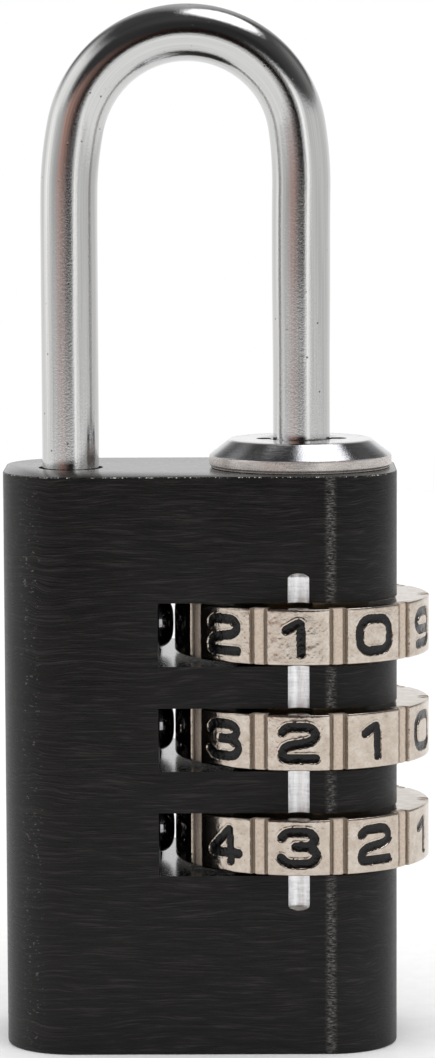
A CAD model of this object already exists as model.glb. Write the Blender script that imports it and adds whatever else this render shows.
"""Looks of the combination padlock: meshes, materials, floor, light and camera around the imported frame."""

from math import cos, degrees, pi, radians, sin, sqrt

import bmesh
import bpy
import numpy as np
from mathutils import Matrix, Vector


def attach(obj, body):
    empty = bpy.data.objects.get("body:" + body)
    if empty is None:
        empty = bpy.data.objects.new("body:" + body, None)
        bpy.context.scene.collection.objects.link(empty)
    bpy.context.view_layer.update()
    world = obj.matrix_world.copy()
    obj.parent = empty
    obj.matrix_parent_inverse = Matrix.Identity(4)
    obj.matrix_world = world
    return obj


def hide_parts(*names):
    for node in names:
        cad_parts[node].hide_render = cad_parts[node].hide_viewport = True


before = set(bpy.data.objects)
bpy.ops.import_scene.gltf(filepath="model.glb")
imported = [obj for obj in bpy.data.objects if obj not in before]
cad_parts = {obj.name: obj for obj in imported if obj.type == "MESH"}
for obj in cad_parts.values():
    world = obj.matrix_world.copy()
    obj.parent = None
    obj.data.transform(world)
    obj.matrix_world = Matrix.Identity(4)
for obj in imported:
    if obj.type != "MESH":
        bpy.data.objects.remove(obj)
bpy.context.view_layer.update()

MM = 0.001
scene = bpy.context.scene

# Sizes in millimetres, the same as part.scad's or close to them
BODY_W, BODY_T, BODY_H, CORNER_R = 21.2, 11.5, 31.2, 3.7
AXIS_X, LEG_GAP, ROD_R = 5.5, 12.53, 1.545
SHORT_X = AXIS_X - LEG_GAP
SHORT_END, LONG_END, BOW_TOP = 26.4, 7.6, 54.65     # ends and top of the rod's centre line
DIAL_R, DIAL_H, BORE_R, SLOT_H, SLOT_X = 6.95, 3.0, 3.75, 3.4, -2.25
SEAT_R, SEAT_Z = 4.25, 26.4     # radius and floor of the collar's seat in the body
SOCKET_R = 1.75         # the short leg's socket
LEAF_X = -3.45          # back face of the leaf that carries the studs
REST_TURN = -2.4        # degrees the number faces rest short of the index line
DIALS = {"top": (22.75, 1), "middle": (17.10, 2), "bottom": (11.45, 3)}     # middle height, index numeral
FACES = 10              # number faces on a dial
LAND_STEP = 36.0        # degrees from one face to the next


# ---- node graphs ---------------------------------------------------------------------


class Graph:
    """Short calls for building a node tree."""

    def __init__(self, tree):
        self.tree = tree
        tree.nodes.clear()

    def node(self, kind, inputs=None, **props):
        n = self.tree.nodes.new(kind)
        for key, value in props.items():
            setattr(n, key, value)
        for key, value in (inputs or {}).items():
            self.put(n.inputs[key], value)
        return n

    def put(self, socket, value):
        if isinstance(value, bpy.types.NodeSocket):
            self.tree.links.new(value, socket)
        else:
            socket.default_value = value

    def math(self, op, a, b=0.0):
        return self.node("ShaderNodeMath", {0: a, 1: b}, operation=op).outputs[0]

    def times(self, a, b):
        return self.math("MULTIPLY", a, b)

    def plus(self, a, b):
        return self.math("ADD", a, b)

    def minus(self, a, b):
        return self.math("SUBTRACT", a, b)

    def weighted(self, *parts):
        """The sum of value times weight over the given pairs."""
        *others, (value, weight) = parts
        total = self.times(value, weight)
        for value, weight in reversed(others):
            total = self.plus(self.times(value, weight), total)
        return total

    def scaled(self, vector, scale):
        return self.node("ShaderNodeVectorMath", {0: vector, 1: scale}, operation="MULTIPLY").outputs[0]

    def shifted(self, vector, shift):
        return self.node("ShaderNodeVectorMath", {0: vector, 1: shift}, operation="ADD").outputs[0]

    def xyz(self, vector):
        return self.node("ShaderNodeSeparateXYZ", {0: vector}).outputs

    def vector(self, x, y, z):
        return self.node("ShaderNodeCombineXYZ", {0: x, 1: y, 2: z}).outputs[0]

    def noise(self, vector, scale=1.0, detail=3.0, rough=0.55):
        inputs = {"Vector": vector, "Scale": scale, "Detail": detail, "Roughness": rough}
        return self.node("ShaderNodeTexNoise", inputs).outputs["Fac"]

    def spots(self, vector, scale, size, shift=(0, 0, 0)):
        """1 inside scattered round spots of that share of a cell, 0 outside."""
        inputs = {"Vector": self.shifted(vector, shift), "Scale": scale}
        cell = self.node("ShaderNodeTexVoronoi", inputs, feature="F1")
        return self.span(cell.outputs["Distance"], size, size * 0.6)

    def span(self, value, a, b, lo=0.0, hi=1.0, smooth=True):
        """Carries the range from a to b over to the one from lo to hi, clamped at both ends."""
        inputs = {"Value": value, "From Min": a, "From Max": b, "To Min": lo, "To Max": hi}
        n = self.node("ShaderNodeMapRange", inputs, clamp=True)
        n.interpolation_type = "SMOOTHSTEP" if smooth else "LINEAR"
        return n.outputs[0]

    def mix(self, fac, a, b):
        n = self.node("ShaderNodeMix", data_type="RGBA")
        self.put(n.inputs[0], fac)
        for socket, colour in ((n.inputs[6], a), (n.inputs[7], b)):
            self.put(socket, (*colour, 1) if isinstance(colour, tuple) else colour)
        return n.outputs[2]

    def ramp(self, fac, stops):
        n = self.node("ShaderNodeValToRGB", {0: fac})
        elements = n.color_ramp.elements
        while len(elements) < len(stops):
            elements.new(0.5)
        for element, (place, colour) in zip(elements, stops):
            element.position = place
            element.color = (*colour, 1)
        return n.outputs[0]

    def bump(self, height, distance, strength):
        inputs = {"Height": height, "Distance": distance, "Strength": strength}
        return self.node("ShaderNodeBump", inputs).outputs[0]


def material(name, build, **fixed):
    """A Principled material. build(graph) returns the linked inputs, fixed holds the constant ones."""
    m = bpy.data.materials.new(name)
    m.use_nodes = True
    g = Graph(m.node_tree)
    shader = g.node("ShaderNodeBsdfPrincipled")
    out = g.node("ShaderNodeOutputMaterial")
    m.node_tree.links.new(shader.outputs[0], out.inputs[0])
    for key, value in fixed.items():
        shader.inputs[key.replace("_", " ")].default_value = value
    for key, value in build(g).items():
        g.put(shader.inputs[key], value)
    return m


def position(g):
    """The point on the surface in millimetres, moving with the piece."""
    return g.scaled(g.node("ShaderNodeTexCoord").outputs["Object"], (1000, 1000, 1000))


def anodised(g):
    """Black anodised aluminium, brushed along X, with speckled wear where the corners begin."""
    p = position(g)
    x, y, z = g.xyz(p)
    _, ny, nz = g.xyz(g.node("ShaderNodeNewGeometry").outputs["Normal"])
    flat = g.math("GREATER_THAN", g.math("ABSOLUTE", nz), 0.6)
    upright = g.minus(1.0, flat)
    # the brush lines run round the block: along follows them, level counts them
    wave = g.noise(g.scaled(p, (0.16, 1.0, 0.5)), detail=1.0)
    level = g.plus(g.plus(g.times(z, upright), g.times(y, flat)), g.times(wave, 0.9))
    along = g.plus(x, g.times(y, upright))
    fine = g.noise(g.vector(g.times(along, 0.55), 0.0, g.times(level, 13.0)), detail=4.0, rough=0.7)
    broad = g.noise(g.vector(g.times(along, 0.22), 3.0, g.times(level, 4.2)), detail=3.0, rough=0.6)
    dash = g.noise(g.vector(g.times(along, 3.2), 7.0, g.times(level, 12.0)), detail=3.0, rough=0.75)
    grain = g.weighted((fine, 0.6), (broad, 0.4))
    colour = g.ramp(grain, [
        (0.36, (0.0022, 0.0019, 0.0018)),
        (0.52, (0.0068, 0.0060, 0.0058)),
        (0.66, (0.026, 0.0235, 0.0225)),
    ])
    # the polishing wheel thins the dye where the front turns into the right corner
    front = g.span(ny, -0.80, -0.97)
    edge = g.times(g.span(x, 6.55, 6.92), g.span(x, 7.36, 7.00))
    wear = g.times(g.times(front, edge), g.span(dash, 0.42, 0.70))
    colour = g.mix(wear, colour, (0.145, 0.142, 0.132))
    # faint specks on the left corner
    dots = g.noise(g.scaled(p, (3.4, 3.4, 7.5)), detail=2.0, rough=0.7)
    left = g.times(g.span(x, -9.75, -9.35), g.span(x, -8.35, -8.75))
    speck = g.times(g.times(left, g.span(ny, -0.2, -0.5)), g.span(dots, 0.61, 0.70))
    colour = g.mix(speck, colour, (0.07, 0.067, 0.062))
    # bright nicks along the sharp top edge
    nick = g.noise(p, scale=9.0, detail=3.0, rough=0.75)
    rim = g.times(g.span(z, BODY_H - 0.075, BODY_H - 0.045), g.math("LESS_THAN", nz, 0.9))
    colour = g.mix(g.times(rim, g.span(nick, 0.54, 0.64)), colour, (0.62, 0.61, 0.58))
    return {
        "Base Color": colour,
        "Roughness": g.span(grain, 0.3, 0.7, 0.30, 0.44, smooth=False),
        "Normal": g.bump(grain, 0.000085, 0.75),
    }


def anodised_top(g):
    """The sawn and brushed end face, where the dye is thinner."""
    p = position(g)
    x, y, _ = g.xyz(p)
    wave = g.noise(g.scaled(p, (0.12, 0.5, 0.0)), detail=1.0)
    level = g.plus(y, g.times(wave, 1.2))
    fine = g.noise(g.vector(g.times(x, 0.5), g.times(level, 7.0), 0.0), detail=4.0, rough=0.7)
    return {
        "Base Color": g.ramp(fine, [(0.36, (0.014, 0.013, 0.0125)), (0.62, (0.062, 0.059, 0.056))]),
        "Roughness": g.span(fine, 0.3, 0.7, 0.13, 0.20, smooth=False),
        "Normal": g.bump(fine, 0.000012, 0.5),
    }


def bare_aluminium(g):
    """Milled aluminium with cutter marks, in the index line."""
    p = position(g)
    marks = g.noise(g.scaled(p, (5.0, 1.0, 0.8)), detail=3.0)
    rings = g.noise(g.scaled(p, (0.7, 2.0, 7.0)), detail=2.0)
    both = g.weighted((marks, 0.6), (rings, 0.4))
    return {
        "Base Color": g.ramp(both, [(0.36, (0.60, 0.60, 0.61)), (0.60, (0.97, 0.97, 0.98))]),
        "Roughness": g.span(both, 0.3, 0.7, 0.28, 0.50, smooth=False),
        "Normal": g.bump(both, 0.00004, 0.6),
    }


def milled(g):
    """Slot floors: fine milling along X, almost a mirror, dark with grease where the dials run."""
    p = position(g)
    x, _, _ = g.xyz(p)
    sweep = g.noise(g.scaled(p, (0.9, 6.0, 1.0)), detail=3.0)
    pores = g.noise(p, scale=6.0, detail=3.0, rough=0.7)
    bright = g.ramp(pores, [(0.35, (0.28, 0.28, 0.285)), (0.62, (0.50, 0.50, 0.51))])
    return {
        "Base Color": g.mix(g.span(x, -1.50, -1.15), bright, (0.03, 0.027, 0.024)),
        "Roughness": g.span(pores, 0.3, 0.7, 0.16, 0.30, smooth=False),
        "Normal": g.bump(sweep, 0.000012, 0.6),
    }


def plated_rod(g):
    """Bright plated drawn rod: fine grain, faint drawing lines and a few pits."""
    p = position(g)
    u, v, _ = g.xyz(g.node("ShaderNodeUVMap", uv_map="rod").outputs[0])
    angle = g.times(u, 2 * pi)
    ring = g.vector(g.math("COSINE", angle), g.math("SINE", angle), 0.0)
    drawn = g.shifted(g.scaled(ring, (16, 16, 16)), g.vector(0.0, 0.0, g.times(v, 0.12)))
    lines = g.noise(drawn, detail=3.0)
    grain = g.noise(p, scale=8.5, detail=4.0, rough=0.75)
    lumps = g.noise(p, scale=2.2, detail=2.0)
    small = g.spots(p, 3.4, 0.09, (3.1, 1.7, 5.9))
    pit = g.math("MAXIMUM", g.spots(p, 1.1, 0.075), g.times(small, g.span(lumps, 0.5, 0.65)))
    height = g.minus(g.weighted((grain, 0.7), (lines, 0.3)), g.times(pit, 0.8))
    colour = g.ramp(lines, [(0.35, (0.515, 0.512, 0.508)), (0.6, (0.585, 0.582, 0.578))])
    return {
        "Base Color": g.mix(pit, colour, (0.16, 0.14, 0.13)),
        "Roughness": g.span(grain, 0.35, 0.7, 0.01, 0.06, smooth=False),
        "Normal": g.bump(height, 0.000009, 0.8),
    }


def turned_steel(g):
    """Collar: polished face, darker cone and worn band, with turning lines round the axis."""
    p = position(g)
    x, y, z = g.xyz(p)
    dx = g.minus(x, AXIS_X)
    r = g.math("SQRT", g.plus(g.times(dx, dx), g.times(y, y)))
    swirl = g.noise(g.vector(g.times(r, 14.0), 0.0, g.times(z, 18.0)), detail=3.0)
    specks = g.noise(p, scale=9.0, detail=3.0, rough=0.7)
    worn = g.noise(g.scaled(p, (2.0, 2.0, 16.0)), detail=3.0)
    in_band = g.span(z, BODY_H + 0.74, BODY_H + 0.66)
    on_face = g.span(z, BODY_H + 1.44, BODY_H + 1.49)
    face = g.ramp(specks, [(0.3, (0.64, 0.635, 0.63)), (0.6, (0.74, 0.735, 0.73))])
    cone = g.ramp(specks, [(0.3, (0.42, 0.42, 0.43)), (0.6, (0.50, 0.505, 0.52))])
    band = g.ramp(worn, [(0.35, (0.46, 0.42, 0.395)), (0.6, (0.60, 0.555, 0.525))])
    return {
        "Base Color": g.mix(in_band, g.mix(on_face, cone, face), band),
        "Metallic": g.span(in_band, 0.0, 1.0, 1.0, 0.55, smooth=False),
        "Roughness": g.plus(g.span(specks, 0.3, 0.7, 0.05, 0.12), g.times(in_band, 0.20)),
        "Normal": g.bump(g.plus(swirl, g.times(specks, 0.7)), 0.00001, 0.7),
    }


def nickel(g):
    """Polished nickel over a zinc casting: small pits, rough and stained in the gaps between the faces."""
    p = position(g)
    cavity = g.node("ShaderNodeAttribute", attribute_name="cavity").outputs["Fac"]
    gap = g.node("ShaderNodeAttribute", attribute_name="gap").outputs["Fac"]
    wave = g.noise(p, scale=1.6, detail=2.0)
    cast = g.noise(p, scale=8.0, detail=3.0, rough=0.6)
    fine = g.noise(p, scale=24.0, detail=2.0)
    patch = g.noise(p, scale=1.1, detail=2.0)
    pits = g.spots(g.scaled(p, (1.0, 1.0, 1.7)), 5.2, 0.16, (0.4, 7.7, 2.2))
    few = g.spots(p, 1.6, 0.06, (5.0, 0.3, 1.4))
    pit = g.math("MAXIMUM", g.times(pits, g.span(patch, 0.58, 0.65)), few)
    tone = g.weighted((wave, 0.45), (cast, 0.35), (fine, 0.2))
    colour = g.ramp(tone, [
        (0.36, (0.44, 0.370, 0.308)),
        (0.5, (0.54, 0.468, 0.400)),
        (0.64, (0.64, 0.580, 0.515)),
    ])
    stain = g.times(gap, g.span(cast, 0.42, 0.62, 0.0, 0.45))
    dirt = g.times(cavity, g.span(fine, 0.25, 0.6, 0.6, 0.9))
    colour = g.mix(gap, colour, (0.54, 0.455, 0.38))
    colour = g.mix(stain, colour, (0.38, 0.28, 0.19))
    colour = g.mix(dirt, colour, (0.15, 0.11, 0.075))
    height = g.minus(g.weighted((wave, 0.6), (cast, 0.30), (fine, 0.10)), g.times(pit, 0.22))
    return {
        "Base Color": g.mix(pit, colour, (0.34, 0.28, 0.23)),
        "Metallic": g.span(gap, 0.0, 1.0, 1.0, 0.25, smooth=False),
        "Roughness": g.plus(g.span(cast, 0.3, 0.7, 0.11, 0.20), g.times(gap, 0.34)),
        "Normal": g.bump(height, 0.00004, 0.5),
    }


def enamel(g):
    """Black enamel in the numerals, lumpy and a little dusty."""
    p = position(g)
    lumps = g.noise(p, scale=3.2, detail=3.0)
    dust = g.noise(p, scale=24.0, detail=2.0)
    return {
        "Base Color": g.ramp(dust, [(0.50, (0.0015, 0.0015, 0.0015)), (0.80, (0.010, 0.0095, 0.009))]),
        "Roughness": g.span(lumps, 0.35, 0.65, 0.10, 0.22),
        "Normal": g.bump(g.plus(lumps, g.times(dust, 0.15)), 0.00006, 0.8),
    }


def machined(light, dark, scale=(1.0, 1.0, 9.0), rough=0.24):
    """Turned or ground metal: the studs and the parts inside the lock."""

    def build(g):
        p = position(g)
        tool = g.noise(g.scaled(p, scale), detail=3.0)
        spot = g.noise(p, scale=2.5, detail=3.0)
        both = g.weighted((tool, 0.65), (spot, 0.35))
        return {
            "Base Color": g.ramp(both, [(0.36, dark), (0.64, light)]),
            "Roughness": g.span(both, 0.3, 0.7, rough, rough * 1.75),
            "Normal": g.bump(tool, 0.00012 * rough, 0.5),
        }

    return build


def moulded(g):
    """Plastic of the sleeves' washers."""
    p = position(g)
    grain = g.noise(p, scale=10.0, detail=3.0)
    return {
        "Base Color": g.ramp(grain, [(0.35, (0.62, 0.60, 0.54)), (0.65, (0.74, 0.72, 0.66))]),
        "Roughness": g.span(grain, 0.3, 0.7, 0.42, 0.58),
        "Normal": g.bump(grain, 0.00002, 0.5),
    }


ball = machined((0.30, 0.30, 0.31), (0.26, 0.26, 0.27), (2.0, 2.0, 2.0), 0.03)
brass = machined((0.42, 0.32, 0.18), (0.26, 0.19, 0.10))
ground = machined((0.10, 0.10, 0.105), (0.045, 0.045, 0.05))
spring = machined((0.66, 0.66, 0.68), (0.46, 0.46, 0.48), (3.0, 3.0, 3.0))
turned = machined((0.74, 0.74, 0.75), (0.58, 0.58, 0.59))

BLACK = material("anodised_black", anodised, Metallic=0.0, Specular_IOR_Level=0.2, IOR=1.5)
BLACK_TOP = material("anodised_end", anodised_top, Metallic=0.0, Specular_IOR_Level=0.24, IOR=1.5)
BARE = material("bare_aluminium", bare_aluminium, Metallic=1.0)
MILLED = material("milled_floor", milled, Metallic=1.0)
ROD = material("plated_rod", plated_rod, Metallic=1.0)
COLLAR = material("turned_steel", turned_steel, Metallic=1.0)
NICKEL = material("satin_nickel", nickel, Metallic=1.0)
BALL = material("polished_ball", ball, Metallic=1.0)
ENAMEL = material("black_enamel", enamel, Metallic=0.0, Specular_IOR_Level=0.3)
BRASS = material("turned_brass", brass, Metallic=1.0)
HARD = material("ground_steel", ground, Metallic=0.6)
SPRING = material("spring_steel", spring, Metallic=1.0)
BUSH = material("turned_aluminium", turned, Metallic=1.0)
PLASTIC = material("moulded_washer", moulded)


# ---- mesh helpers --------------------------------------------------------------------


def make(name, verts, faces, materials=(), smooth=30.0):
    """A mesh object from points in millimetres."""
    me = bpy.data.meshes.new(name)
    me.from_pydata((np.asarray(verts, float) * MM).tolist(), [], faces)
    me.update()
    ob = bpy.data.objects.new(name, me)
    scene.collection.objects.link(ob)
    for m in materials:
        me.materials.append(m)
    shade(me, smooth)
    return ob


def shade(me, angle):
    """Smooth shading, with edges of more than that many degrees kept sharp."""
    for f in me.polygons:
        f.use_smooth = True
    me.set_sharp_from_angle(angle=radians(angle))


def prism(name, outline, z0, z1):
    """A solid from an outline in XY, anticlockwise."""
    n = len(outline)
    verts = [(x, y, z) for z in (z0, z1) for x, y in outline]
    faces = [[i, (i + 1) % n, n + (i + 1) % n, n + i] for i in range(n)]
    faces += [list(range(n))[::-1], list(range(n, 2 * n))]
    return make(name, verts, faces)


def circle(x, y, r, n=96):
    return [(x + r * cos(2 * pi * i / n), y + r * sin(2 * pi * i / n)) for i in range(n)]


def rectangle(x0, y0, x1, y1):
    return [(x0, y0), (x1, y0), (x1, y1), (x0, y1)]


def lathe(name, profile, x, n):
    """A closed (r, z) profile turned round the upright axis at x."""
    k = len(profile)
    verts, faces = [], []
    for i in range(n):
        c, s = cos(2 * pi * i / n), sin(2 * pi * i / n)
        verts += [(x + r * c, r * s, z) for r, z in profile]
        a, b = i * k, (i + 1) % n * k
        faces += [[a + j, b + j, b + (j + 1) % k, a + (j + 1) % k] for j in range(k)]
    return make(name, verts, faces)


def applied(ob):
    """Bakes the object's modifiers into its mesh."""
    me = bpy.data.meshes.new_from_object(ob.evaluated_get(bpy.context.evaluated_depsgraph_get()))
    old = ob.data
    ob.modifiers.clear()
    ob.data = me
    bpy.data.meshes.remove(old)


def cut(ob, cutters):
    """Cuts the cutters out of the object and removes them."""
    for c in cutters:
        m = ob.modifiers.new("cut", "BOOLEAN")
        m.operation, m.solver, m.object = "DIFFERENCE", "EXACT", c
        applied(ob)
        bpy.data.objects.remove(c, do_unlink=True)


SHARP = 0.6             # radians between two faces from which their edge counts as sharp


def bevelled(ob, wanted, width, segments):
    """Rounds the sharp edges for which wanted(a, b) holds, with both ends in millimetres."""
    bm = bmesh.new()
    bm.from_mesh(ob.data)
    bmesh.ops.remove_doubles(bm, verts=bm.verts, dist=0.002 * MM)
    bmesh.ops.dissolve_degenerate(bm, edges=bm.edges, dist=0.001 * MM)
    edges = []
    for e in bm.edges:
        ends = [tuple(c / MM for c in v.co) for v in e.verts]
        if len(e.link_faces) == 2 and e.calc_face_angle(0) > SHARP and wanted(*ends):
            edges.append(e)
    bmesh.ops.bevel(bm, geom=edges, offset=width * MM, segments=segments, profile=0.5, affect="EDGES",
                    clamp_overlap=True)
    bm.to_mesh(ob.data)
    bm.free()


# ---- body ----------------------------------------------------------------------------

# the index line's cutter: a rod with domed ends, its axis just before the front
LINE_X, LINE_Y, LINE_R = AXIS_X - 0.26, -BODY_T / 2 - 0.39, 0.69
LINE_LOW, LINE_HIGH, LINE_DOME = 7.8, 26.1, 0.35


def corner_outline(steps=20):
    """The body's outline, a rectangle with round corners."""
    w, t, r = BODY_W / 2, BODY_T / 2, CORNER_R
    points = []
    for cx, cy, start in ((1, -1, -90), (1, 1, 0), (-1, 1, 90), (-1, -1, 180)):
        for i in range(steps + 1):
            a = radians(start + 90 * i / steps)
            points.append((cx * (w - r) + r * cos(a), cy * (t - r) + r * sin(a)))
    return points


def index_line_cutter(n=48, k=10):
    dome = [(LINE_LOW + LINE_DOME - LINE_DOME * cos(pi / 2 * i / k), sin(pi / 2 * i / k))
            for i in range(1, k + 1)]
    rows = dome + [(LINE_LOW + LINE_HIGH - z, s) for z, s in dome[::-1]]
    verts = [(LINE_X, LINE_Y, LINE_LOW)]
    for z, s in rows:
        verts += [(x, y, z) for x, y in circle(LINE_X, LINE_Y, LINE_R * s, n)]
    verts.append((LINE_X, LINE_Y, LINE_HIGH))
    last = len(verts) - 1
    faces = [[0, 1 + (i + 1) % n, 1 + i] for i in range(n)]
    for j in range(len(rows) - 1):
        a, b = 1 + j * n, 1 + (j + 1) * n
        faces += [[a + i, a + (i + 1) % n, b + (i + 1) % n, b + i] for i in range(n)]
    faces += [[last, last - n + i, last - n + (i + 1) % n] for i in range(n)]
    return make("c", verts, faces)


def body_cutters():
    """Dial slots, main bore, collar's seat, short leg's socket, leaf channel and index line."""
    over = BODY_H + 1
    cutters = []
    for z, _ in DIALS.values():
        cutters.append(prism("c", rectangle(SLOT_X, -9, 14, 9), z - SLOT_H / 2, z + SLOT_H / 2))
    cutters.append(prism("c", circle(AXIS_X, 0, BORE_R), -1, SEAT_Z + 0.05))
    cutters.append(prism("c", circle(AXIS_X, 0, SEAT_R), SEAT_Z, over))
    cutters.append(prism("c", circle(SHORT_X, 0, SOCKET_R, 64), SHORT_END - 0.5, over))
    cutters.append(prism("c", rectangle(LEAF_X - 0.25, -1.5, SLOT_X + 0.05, 1.5), -1, 25.6))
    cutters.append(index_line_cutter())
    return cutters


def on_outside(p):
    """True for a point on the body's upright outside, in millimetres."""
    x, y = abs(p[0]) - BODY_W / 2, abs(p[1]) - BODY_T / 2
    if x > -0.01 or y > -0.01:
        return True
    in_corner = x > -CORNER_R and y > -CORNER_R
    return in_corner and abs(sqrt((x + CORNER_R) ** 2 + (y + CORNER_R) ** 2) - CORNER_R) < 0.02


def bottom_edge(a, b):
    """True for an edge of the outside that lies on the base."""
    return max(a[2], b[2]) < 0.001 and on_outside(a) and on_outside(b)


def top_edge(a, b):
    """True for an edge of the outside that lies on the top."""
    return min(a[2], b[2]) > BODY_H - 0.001 and on_outside(a) and on_outside(b)


def paint_body(me):
    """Gives each face its material: black, bare metal in the index line, top face or slot floor."""
    black, bare, top, floor = range(4)
    me.materials.clear()
    for m in (BLACK, BARE, BLACK_TOP, MILLED):
        me.materials.append(m)
    front = -BODY_T / 2
    for f in me.polygons:
        x, y, z = (v / MM for v in f.center)
        behind_front = front + 0.004 < y < front + 0.32
        in_line = abs(x - LINE_X) < 0.60 and LINE_LOW - 0.1 < z < LINE_HIGH + 0.1
        faces_up = f.normal.z > 0.9 and abs(y) < BODY_T / 2 - 0.02
        if z > BODY_H - 0.002:
            f.material_index = top
        elif faces_up and any(abs(z - middle) < SLOT_H / 2 + 0.03 for middle, _ in DIALS.values()):
            f.material_index = floor
        elif behind_front and in_line and abs(f.normal.z) < 0.97:
            f.material_index = bare
        else:
            f.material_index = black


def build_body():
    ob = prism("body", corner_outline(), 0, BODY_H)
    cut(ob, body_cutters())
    bevelled(ob, bottom_edge, 0.15, 3)
    bevelled(ob, top_edge, 0.05, 2)
    paint_body(ob.data)
    shade(ob.data, 40)
    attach(ob, "case")
    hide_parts("body")


# ---- shackle -------------------------------------------------------------------------


def bow_path():
    """Centre line of the rod in XZ, from the short leg's end to the long leg's."""
    shoulder_r, turn = 20.0, radians(10)
    crown_r = shoulder_r - (shoulder_r - LEG_GAP / 2) / cos(turn)
    crown_z = BOW_TOP - crown_r
    start_z = crown_z - (shoulder_r - crown_r) * sin(turn)
    mid = AXIS_X - LEG_GAP / 2
    pts = []
    for z in np.arange(SHORT_END + 0.4, start_z - 0.01, 0.3):
        pts.append((SHORT_X, z))
    for a in np.linspace(0, turn, 12)[:-1]:
        pts.append((SHORT_X + shoulder_r - shoulder_r * cos(a), start_z + shoulder_r * sin(a)))
    for a in np.linspace(turn, pi - turn, 90)[:-1]:
        pts.append((mid - crown_r * cos(a), crown_z + crown_r * sin(a)))
    for a in np.linspace(turn, 0, 12):
        pts.append((AXIS_X - shoulder_r + shoulder_r * cos(a), start_z + shoulder_r * sin(a)))
    for z in np.arange(start_z - 0.3, LONG_END, -0.3):
        pts.append((AXIS_X, z))
    pts.append((AXIS_X, LONG_END))
    return pts


def build_shackle():
    """The bent rod, with a map of turn and length along it for the drawing lines."""
    pts = [(SHORT_X, SHORT_END, 1.1)] + [(x, z, ROD_R) for x, z in bow_path()]
    xz = np.array([(x, z) for x, z, _ in pts])
    step = np.gradient(xz, axis=0)
    step /= np.linalg.norm(step, axis=1)[:, None]
    length = np.concatenate([[0], np.cumsum(np.linalg.norm(np.diff(xz, axis=0), axis=1))])
    n = 72
    verts, uvs = [], []
    for (x, z, r), (tx, tz), s in zip(pts, step, length):
        lean = 0.13 * smooth_step(z, 44.0, 53.0)      # the bow stands a little to the right
        if x > 0:
            r += 0.035 * smooth_step(z, 36.0, 42.0) * (1 - smooth_step(z, 46.0, 52.0))
        for i in range(n):
            a = 2 * pi * i / n
            # across the rod: outward in the bow's plane, and along Y
            o, y = r * cos(a), r * sin(a)
            verts.append((x + lean - tz * o, y, z + tx * o))
    m = len(pts)
    faces = [[j * n + i, (j + 1) * n + i, (j + 1) * n + (i + 1) % n, j * n + (i + 1) % n]
             for j in range(m - 1) for i in range(n)]
    faces += [list(range(n)), [(m - 1) * n + i for i in range(n)][::-1]]
    ob = make("shackle", verts, faces, [ROD], smooth=35)
    me = ob.data
    uv = me.uv_layers.new(name="rod")
    for f in me.polygons:
        seam = max(me.loops[k].vertex_index % n for k in f.loop_indices) == n - 1
        for k in f.loop_indices:
            j, i = divmod(me.loops[k].vertex_index, n)
            u = 1.0 if seam and i == 0 and len(f.vertices) == 4 else i / n
            uv.data[k].uv = (u, length[j])
    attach(ob, "shackle_assembly")
    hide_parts("shackle")


# ---- collar --------------------------------------------------------------------------


def build_collar():
    """A ring turned from a profile of radius and height, with two spanner slots."""
    top, bore = BODY_H + 1.54, 1.63
    profile = [
        (bore, 26.5), (4.20, 26.5), (4.20, BODY_H + 0.005), (4.78, BODY_H + 0.005), (4.85, BODY_H + 0.04),
        (4.86, BODY_H + 0.10), (4.90, BODY_H + 0.14), (4.94, BODY_H + 0.20), (4.94, BODY_H + 0.60),
        (4.92, BODY_H + 0.68), (4.87, BODY_H + 0.74), (3.92, top - 0.07), (3.87, top - 0.02), (3.81, top),
        (1.76, top), (1.66, top - 0.05), (bore, top - 0.12),
    ]
    ob = lathe("collar", profile, AXIS_X - 0.06, 256)       # a touch left of the axis
    cutters = []
    for s in (-1, 1):
        outline = [(AXIS_X + s * 1.0, -0.5), (AXIS_X + s * 1.9, -0.5)]
        outline += [(AXIS_X + s * (1.9 + 0.55 * cos(a)), 0.55 * sin(a)) for a in np.linspace(-1.2, 1.2, 13)]
        outline += [(AXIS_X + s * 1.9, 0.5), (AXIS_X + s * 1.0, 0.5)]
        cutters.append(prism("c", outline if s > 0 else outline[::-1], top - 0.6, top + 1))
    cut(ob, cutters)
    ob.data.materials.clear()
    ob.data.materials.append(COLLAR)
    shade(ob.data, 28)
    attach(ob, "case")
    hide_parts("collar")


# ---- detent studs --------------------------------------------------------------------


def build_studs():
    """Three domes on short shanks, turned about axes along X."""
    back, middle = -3.2, -2.75          # where the shank ends and where the dome is widest
    shank, wide, long, blunt = 0.45, 1.45, 1.27, 0.66
    tip, n = middle + long, 96
    profile = [(LEAF_X, shank), (back, shank), (back, 1.40), (middle, wide)]
    for a in np.linspace(0, pi / 2, 41)[1:-1]:
        profile.append((middle + long * sin(a) ** blunt, wide * cos(a) ** blunt))
    k = len(profile)
    verts, faces = [], []
    for z, _ in DIALS.values():
        at = len(verts)
        for i in range(n):
            c, s = cos(2 * pi * i / n), sin(2 * pi * i / n)
            verts += [(x, r * c, z + r * s) for x, r in profile]
        verts += [(LEAF_X, 0, z), (tip, 0, z)]
        for i in range(n):
            a, b = at + i * k, at + (i + 1) % n * k
            faces += [[a + j, a + j + 1, b + j + 1, b + j] for j in range(k - 1)]
            faces += [[a, b, at + n * k], [a + k - 1, at + n * k + 1, b + k - 1]]
    ob = make("detent_studs", verts, faces, [BALL], smooth=35)
    bm = bmesh.new()
    bm.from_mesh(ob.data)
    bmesh.ops.recalc_face_normals(bm, faces=bm.faces)
    bm.to_mesh(ob.data)
    bm.free()
    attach(ob, "case")
    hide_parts("detent_studs")


# ---- numerals ------------------------------------------------------------------------

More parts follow.
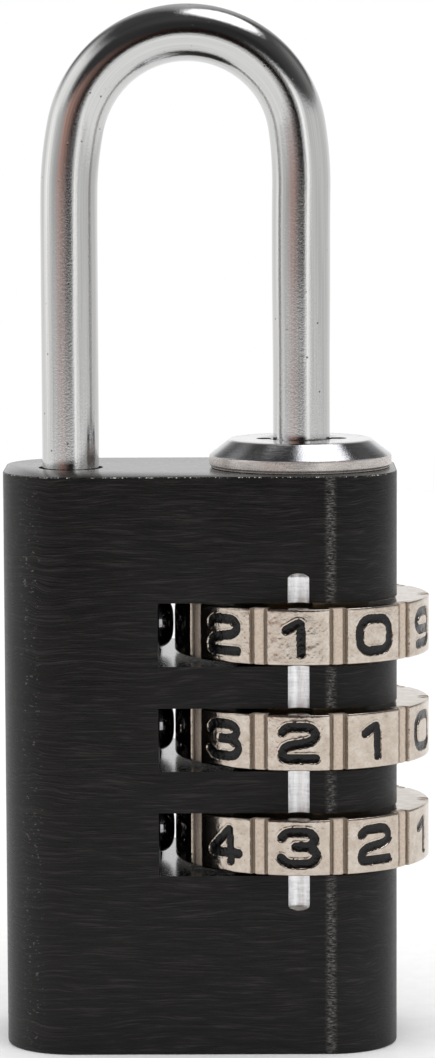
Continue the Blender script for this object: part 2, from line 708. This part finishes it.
# centre lines of the numerals 0 to 9 in millimetres, u across the face and v up
STROKES = [
    [[(0, 0.90), (-0.62, 0.90), (-1.02, 0.50), (-1.02, -0.50), (-0.62, -0.90), (0.62, -0.90),
      (1.02, -0.50), (1.02, 0.50), (0.62, 0.90), (0, 0.90)]],
    [[(-0.68, 0.42), (0.14, 0.88), (0.16, -0.90)]],
    [[(-0.92, 0.62), (-0.66, 0.90), (0.66, 0.90), (0.95, 0.62), (0.95, 0.30), (0.66, 0.05),
      (-0.62, -0.16), (-0.92, -0.44), (-0.92, -0.88), (0.98, -0.88)]],
    [[(-0.96, 0.60), (-0.66, 0.90), (0.58, 0.90), (0.90, 0.66), (0.90, 0.34), (0.60, 0.08), (-0.15, 0.08)],
     [(0.30, 0.08), (0.64, 0.06), (1.02, -0.24), (1.02, -0.58), (0.66, -0.90), (-0.66, -0.90),
      (-1.02, -0.58)]],
    [[(0.43, 0.84), (0.50, -0.90)], [(0.38, 0.84), (-0.98, -0.46), (1.02, -0.46)]],
    [[(0.92, 0.90), (-0.84, 0.90), (-0.90, 0.18), (0.58, 0.18), (0.96, -0.14), (0.96, -0.56),
      (0.60, -0.90), (-0.64, -0.90), (-0.96, -0.64)]],
    [[(0.82, 0.90), (-0.56, 0.90), (-0.94, 0.52), (-0.94, -0.54), (-0.58, -0.90), (0.60, -0.90),
      (0.96, -0.58), (0.96, -0.18), (0.64, 0.12), (-0.88, 0.12)]],
    [[(-0.94, 0.90), (0.90, 0.90), (-0.10, -0.90)]],
    [[(0, 0.90), (-0.56, 0.90), (-0.86, 0.62), (-0.86, 0.30), (-0.56, 0.03), (0.56, 0.03),
      (0.86, 0.30), (0.86, 0.62), (0.56, 0.90), (0, 0.90)],
     [(0, 0.03), (-0.66, 0.03), (-1.00, -0.26), (-1.00, -0.58), (-0.64, -0.90), (0.64, -0.90),
      (1.00, -0.58), (1.00, -0.26), (0.66, 0.03), (0, 0.03)]],
    [[(-0.82, -0.90), (0.56, -0.90), (0.94, -0.52), (0.94, 0.54), (0.58, 0.90), (-0.60, 0.90),
      (-0.96, 0.58), (-0.96, 0.18), (-0.64, -0.12), (0.88, -0.12)]],
]
NUMERAL_W, NUMERAL_H = 0.94, 0.95       # scale of the numerals against these lines
STROKE = 0.235          # half width of a numeral's line
INK_DEPTH = 0.055       # the enamel's edge under the metal


def rounded(line, rounds=2):
    """Corner cutting, keeping the two ends."""
    for _ in range(rounds):
        out = [line[0]]
        for a, b in zip(line, line[1:]):
            dx, dy = b[0] - a[0], b[1] - a[1]
            k = min(0.25, 0.16 / max(sqrt(dx ** 2 + dy ** 2), 1e-6))
            out += [(a[0] + k * dx, a[1] + k * dy), (b[0] - k * dx, b[1] - k * dy)]
        line = out + [line[-1]]
    return line


def distance(u, v, strokes):
    """Distance from each point to the nearest centre line."""
    best = np.full(u.shape, 9.0)
    for line in strokes:
        line = rounded(line)
        for (ax, ay), (bx, by) in zip(line, line[1:]):
            dx, dy = bx - ax, by - ay
            k = np.clip(((u - ax) * dx + (v - ay) * dy) / max(dx * dx + dy * dy, 1e-9), 0, 1)
            best = np.minimum(best, np.hypot(u - ax - k * dx, v - ay - k * dy))
    return best


# ---- dials ---------------------------------------------------------------------------

VALLEY = 0.50           # half width of the gap between two number faces
RIB = 0.27              # half width of the low rib standing in it
BEVEL = 0.11            # rounding of the rim's two edges
FACE_IN = 0.018         # the faces lie this far inside DIAL_R, which leaves room for the lips
INK_IN = 0.012          # the same for the enamel


def smooth_step(x, a, b):
    """0 up to a, 1 from b, with a soft start and end."""
    k = np.clip((x - a) / (b - a), 0, 1)
    return k * k * (3 - 2 * k)


def lookup_noise(seed, u, v, scale):
    """Seeded smooth noise on a grid, from -1 to 1."""
    rng = np.random.default_rng(seed)
    cells = 257
    table = rng.uniform(-1, 1, (cells, cells))
    x, y = (u * scale) % (cells - 1), (v * scale) % (cells - 1)
    fx, fy = x - np.floor(x), y - np.floor(y)
    i, j = np.floor(x).astype(int) % (cells - 1), np.floor(y).astype(int) % (cells - 1)
    fx, fy = fx * fx * (3 - 2 * fx), fy * fy * (3 - 2 * fy)
    a = table[i, j] * (1 - fx) + table[i + 1, j] * fx
    b = table[i, j + 1] * (1 - fx) + table[i + 1, j + 1] * fx
    return a * (1 - fy) + b * fy


def columns():
    """Angles round a dial in degrees, closer together at the valleys. 0 is the index face's middle."""
    half = degrees(VALLEY / DIAL_R) + 0.35
    land = np.linspace(-LAND_STEP / 2 + half, LAND_STEP / 2 - half, 74, endpoint=False)
    valley = np.linspace(LAND_STEP / 2 - half, LAND_STEP / 2 + half, 44, endpoint=False)
    sector = np.concatenate([land, valley])
    return np.concatenate([k * LAND_STEP + sector for k in range(FACES)])


def rim_rows():
    """Heights up the rim from the dial's middle, and how far the rounded edges fall back there."""
    half = DIAL_H / 2
    turn = np.linspace(0, pi / 2, 5)
    low = [(-half + BEVEL * (1 - cos(t)), -BEVEL * (1 - sin(t))) for t in turn]
    rows = low[:-1] + [(z, 0.0) for z in np.linspace(-half + BEVEL, half - BEVEL, 66)]
    rows += [(-z, fall) for z, fall in low[:-1]][::-1]
    return np.array([z for z, _ in rows]), np.array([fall for _, fall in rows])


def round_axis(angle, radius, z):
    """Points round the dials' axis, with angle 0 at the front."""
    return np.stack([AXIS_X + radius * np.sin(angle), -radius * np.cos(angle), z], -1)


def numeral_distance(face, across, Z, code):
    """Distance from each point of the rim to the lines of its own face's numeral."""
    dist = np.full(Z.shape, 9.0)
    for k in range(FACES):
        here = face % FACES == k
        # going anticlockwise seen from above moves to the right at the front, where numbers fall
        n = (code - k) % FACES
        dist[:, here] = distance(across[:, here] / NUMERAL_W, Z[:, here] / NUMERAL_H, STROKES[n])
    return dist


def build_metal(key, level, A, Z, R, dirt, gap):
    """A dial: the grid round its rim, closed by rings across the level faces and the bore."""
    nrow, count = Z.shape
    verts = [round_axis(A, R, level + Z).reshape(-1, 3)]
    dirts, gaps = [dirt.reshape(-1)], [gap.reshape(-1)]
    for end in (-DIAL_H / 2, DIAL_H / 2):
        for radius in (BORE_R, DIAL_R - 1.2, DIAL_R - 0.72):
            verts.append(round_axis(A, radius, np.full(count, level + end)))
            dirts.append(np.full(count, float(end < 0)))        # the underside is dark
            gaps.append(np.zeros(count))
    order = [nrow, nrow + 1, nrow + 2] + list(range(nrow)) + [nrow + 5, nrow + 4, nrow + 3]
    faces = []
    for a, b in zip(order, order[1:] + order[:1]):
        for i in range(count):
            j = (i + 1) % count
            faces.append([a * count + i, a * count + j, b * count + j, b * count + i])
    ob = make(f"dial_{key}", np.concatenate(verts), faces, [NICKEL], smooth=50)
    for name, values in (("cavity", dirts), ("gap", gaps)):
        attribute = ob.data.attributes.new(name, "FLOAT", "POINT")
        attribute.data.foreach_set("value", np.concatenate(values))
    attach(ob, f"{key}_dial")
    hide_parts(f"dial_{key}")


def build_ink(key, level, A, Z, inside, sag):
    """Enamel in a dial's numerals, its edge hidden under the metal's."""
    nrow, count = inside.shape
    right = np.roll(inside, -1, axis=1)
    cell = inside[:-1, :] & inside[1:, :] & right[:-1, :] & right[1:, :]
    used = np.zeros(inside.shape, bool)
    for dj in (0, 1):
        for di in (0, 1):
            used[dj:nrow - 1 + dj, :] |= np.roll(cell, di, axis=1)
    total = int(used.sum())
    ids = -np.ones(inside.shape, int)
    ids[used] = np.arange(total)
    jj, ii = np.nonzero(used)
    points = [round_axis(A[ii], radius, level + Z[jj, ii])
              for radius in (DIAL_R - INK_IN - sag[jj, ii], np.full(total, DIAL_R - 0.24))]
    faces = []
    for j, i in zip(*np.nonzero(cell)):
        k = (i + 1) % count
        q = [ids[j, i], ids[j, k], ids[j + 1, k], ids[j + 1, i]]
        faces.append(q)
        faces.append([v + total for v in q[::-1]])
        for (a, b), (dj, di) in (((0, 1), (-1, 0)), ((1, 2), (0, 1)), ((2, 3), (1, 0)), ((3, 0), (0, -1))):
            other = (j + dj, (i + di) % count)
            if not (0 <= other[0] < cell.shape[0] and cell[other]):
                faces.append([q[b], q[a], q[a] + total, q[b] + total])
    ink = make(f"numerals_{key}", np.concatenate(points), faces, [ENAMEL], smooth=60)
    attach(ink, f"{key}_dial")
    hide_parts(f"numerals_{key}")


def build_dial(key, level, code, seed):
    """A dial and the enamel in its numerals, both taken from one grid of rows and columns round the rim."""
    angles = columns()
    z, fall = rim_rows()
    face = np.round((angles - 1e-9) / LAND_STEP).astype(int)
    off = angles - face * LAND_STEP
    rows = np.ones((len(z), 1))
    Z = z[:, None] * np.ones((1, len(angles)))
    across = DIAL_R * np.sin(np.radians(off))[None, :] * rows
    arc = np.radians(angles)[None, :] * DIAL_R * rows

    def noise(number, scale, stretch=1):
        return lookup_noise(seed + number, arc * stretch, Z + 9, scale)

    rough_edge = 0.016 * noise(0, 5.5) + 0.012 * noise(1, 13.0)
    dist = numeral_distance(face, across, Z, code) + rough_edge
    groove = 0.15 * (1 - smooth_step(dist, STROKE - 0.035, STROKE + 0.035))
    lip = 0.011 * np.exp(-((dist - STROKE - 0.075) / 0.045) ** 2)       # metal raised beside the strokes
    # the gap between faces: a low rib with a narrow recess on each side
    side = (np.radians(LAND_STEP / 2) - np.abs(np.radians(off)))[None, :] * DIAL_R * rows
    side = side + 0.010 * noise(2, 6.0)
    recess = 1 - smooth_step(side, VALLEY - 0.05, VALLEY + 0.02)
    recess = recess * smooth_step(side, RIB - 0.02, RIB + 0.05)
    shelf = 1 - smooth_step(side, VALLEY - 0.06, VALLEY + 0.03)
    crown = 0.045 * np.clip(side / RIB, 0, 1) ** 2
    depth = groove + shelf * (0.075 + crown) + recess * 0.13
    casting = 0.006 * noise(3, 2.2) + 0.004 * noise(4, 7.0)
    rib_marks = 0.010 * noise(5, 6.0, stretch=2) * (side < RIB)
    R = DIAL_R - FACE_IN + fall[:, None] - depth + casting + rib_marks + lip
    A = np.radians(angles + REST_TURN)
    build_metal(key, level, A, Z, R, np.clip(recess * 1.15, 0, 1), shelf)
    sag = INK_DEPTH + 0.035 * (1 - np.clip(dist / STROKE, 0, 1) ** 2) + 0.006 * noise(7, 6.0)
    build_ink(key, level, A, Z, dist < STROKE + 0.03, sag)


# ---- stage ---------------------------------------------------------------------------


def white(g):
    """Matt white with a faint grain."""
    grain = g.noise(g.node("ShaderNodeTexCoord").outputs["Object"], scale=900.0, detail=2.0)
    return {"Base Color": g.ramp(grain, [(0.4, (0.90, 0.90, 0.90)), (0.6, (0.92, 0.92, 0.92))])}


def build_floor():
    """A round white floor, 0.6 m across."""
    outline = circle(0, 0, 0.30)
    me = bpy.data.meshes.new("floor")
    me.from_pydata([(x, y, 0) for x, y in outline], [], [list(range(len(outline)))])
    me.materials.append(material("floor_white", white, Roughness=0.7, Specular_IOR_Level=0.2))
    ob = bpy.data.objects.new("floor", me)
    scene.collection.objects.link(ob)


def grey(stops, tint=(1.0, 1.0, 1.0)):
    """Ramp stops from pairs of azimuth, -180 to 180 degrees, and brightness."""
    return [((deg + 180) / 360, tuple(v * t for t in tint)) for deg, v in stops]


WARM = (1.42, 0.90, 0.77)
# brightness round the tent, by azimuth: 0 is towards the camera and positive towards +X
SIDES = [
    *grey([(-180, 1.0), (-126, 0.94), (-109, 1.34), (-98, 1.46), (-84, 1.02), (-70, 0.66), (-54, 0.56)]),
    *grey([(-42, 0.43), (-22, 0.23), (-12, 0.09), (-4, 0.01), (10, 0.01)], WARM),
    *grey([(14, 0.22), (23, 1.50), (31, 1.50), (39, 0.84), (120, 0.82), (142, 1.0), (180, 1.0)]),
]
BELOW = grey([
    (-180, 1.0), (-105, 1.10), (-70, 0.88), (-45, 0.78), (8, 0.74),
    (16, 1.35), (25, 1.50), (33, 0.80), (100, 0.78), (180, 1.0),
])
OVERHEAD = grey([
    (-180, 0.62), (-160, 0.50), (-145, 0.10), (-120, 0.9), (-108, 1.3), (-72, 1.1), (-52, 0.06),
    (-5, 0.035), (30, 0.035), (75, 0.10), (110, 0.30), (140, 0.10), (158, 0.50), (180, 0.62),
])
ROOF = grey([
    (-180, 0.62), (-158, 0.30), (-140, 0.08), (-60, 0.06), (0, 0.08),
    (90, 0.08), (140, 0.08), (158, 0.30), (180, 0.62),
])


def build_world():
    """A light tent that only the reflections see, round a plain white background and an even light."""
    world = bpy.data.worlds.new("studio")
    scene.world = world
    world.use_nodes = True
    g = Graph(world.node_tree)
    x, y, z = g.xyz(g.node("ShaderNodeTexCoord").outputs["Generated"])
    azimuth = g.math("ARCTAN2", x, g.times(y, -1.0))
    turn = g.plus(g.math("DIVIDE", azimuth, 2 * pi), 0.5)       # 0 to 1 from -180 to 180 degrees
    up = g.math("DIVIDE", g.math("ARCSINE", z), pi)             # -0.5 to 0.5 from straight down to up
    tone = g.mix(g.span(up, 0.070, 0.115), g.ramp(turn, SIDES), g.ramp(turn, OVERHEAD))
    tone = g.mix(g.span(up, 0.20, 0.30), tone, g.ramp(turn, ROOF))
    tone = g.mix(g.span(up, -0.0175, -0.0245), tone, g.ramp(turn, BELOW))
    # a soft box overhead, a little to the right
    u = g.math("DIVIDE", g.minus(x, 0.26), 0.28)
    v = g.math("DIVIDE", y, 0.40)
    box = g.span(g.plus(g.times(u, u), g.times(v, v)), 1.25, 0.80)
    tone = g.mix(g.times(box, g.math("GREATER_THAN", z, 0.0)), tone, (2.3, 2.3, 2.36))
    rays = g.node("ShaderNodeLightPath").outputs
    plain = g.mix(rays["Is Camera Ray"], (1.12, 1.12, 1.12), (1.0, 1.0, 1.0))
    colour = g.mix(rays["Is Glossy Ray"], plain, tone)
    back = g.node("ShaderNodeBackground", {"Color": colour, "Strength": 1.0})
    out = g.node("ShaderNodeOutputWorld")
    world.node_tree.links.new(back.outputs[0], out.inputs[0])


def area_light(name, place, power):
    """A square lamp, 0.3 m across and aimed at the lock, that isn't seen in the metal."""
    aim = Vector((0, 0, 0.03))
    data = bpy.data.lights.new(name, "AREA")
    data.shape, data.size, data.size_y = "RECTANGLE", 0.30, 0.30
    data.energy = power
    ob = bpy.data.objects.new(name, data)
    ob.location = place
    ob.rotation_euler = (aim - Vector(place)).to_track_quat("-Z", "Y").to_euler()
    ob.visible_camera = False
    ob.visible_glossy = False
    scene.collection.objects.link(ob)


def build_camera():
    """The camera in front of the lock, a little above it, looking slightly down."""
    az, pitch, roll = radians(0.3), radians(-6.186), radians(-0.243)
    aim, far = Vector((0.000924, 0, 0.027803)), 0.23119
    ahead = Vector((-sin(az) * cos(pitch), cos(az) * cos(pitch), sin(pitch)))
    right = Vector((cos(az), sin(az), 0))
    up = right.cross(ahead)
    x = right * cos(roll) + up * sin(roll)
    y = up * cos(roll) - right * sin(roll)
    data = bpy.data.cameras.new("camera")
    data.sensor_fit, data.sensor_height, data.lens = "VERTICAL", 36.0, 144.6448
    data.clip_start = 0.005
    ob = bpy.data.objects.new("camera", data)
    m = Matrix.Identity(4)
    for i, column in enumerate((x, y, -ahead, aim - ahead * far)):
        for j in range(3):
            m[j][i] = column[j]
    ob.matrix_world = m
    scene.collection.objects.link(ob)
    scene.camera = ob


# ---- the whole scene -----------------------------------------------------------------

build_camera()
build_world()
build_floor()
area_light("key", (0.35, -0.35, 0.45), 0.55)
area_light("fill", (-0.45, -0.20, 0.30), 0.30)

build_body()
build_shackle()
build_collar()
build_studs()
for number, (key, (level, code)) in enumerate(DIALS.items()):
    build_dial(key, level, code, seed=40 + 10 * number)

# the parts inside keep the frame's meshes and get a material
INNER = {
    "lug_pins": HARD, "sleeve_top": BRASS, "sleeve_middle": BRASS, "sleeve_bottom": BRASS,
    "sleeve_washers": PLASTIC, "thrust_ring": BRASS, "base_bush": BUSH, "bottom_plug": BLACK,
    "shackle_spring": SPRING, "detent_leaf": SPRING, "detent_plug": BLACK,
}
for node, finish in INNER.items():
    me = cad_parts[node].data
    me.materials.clear()
    me.materials.append(finish)

scene.view_settings.view_transform = "Standard"
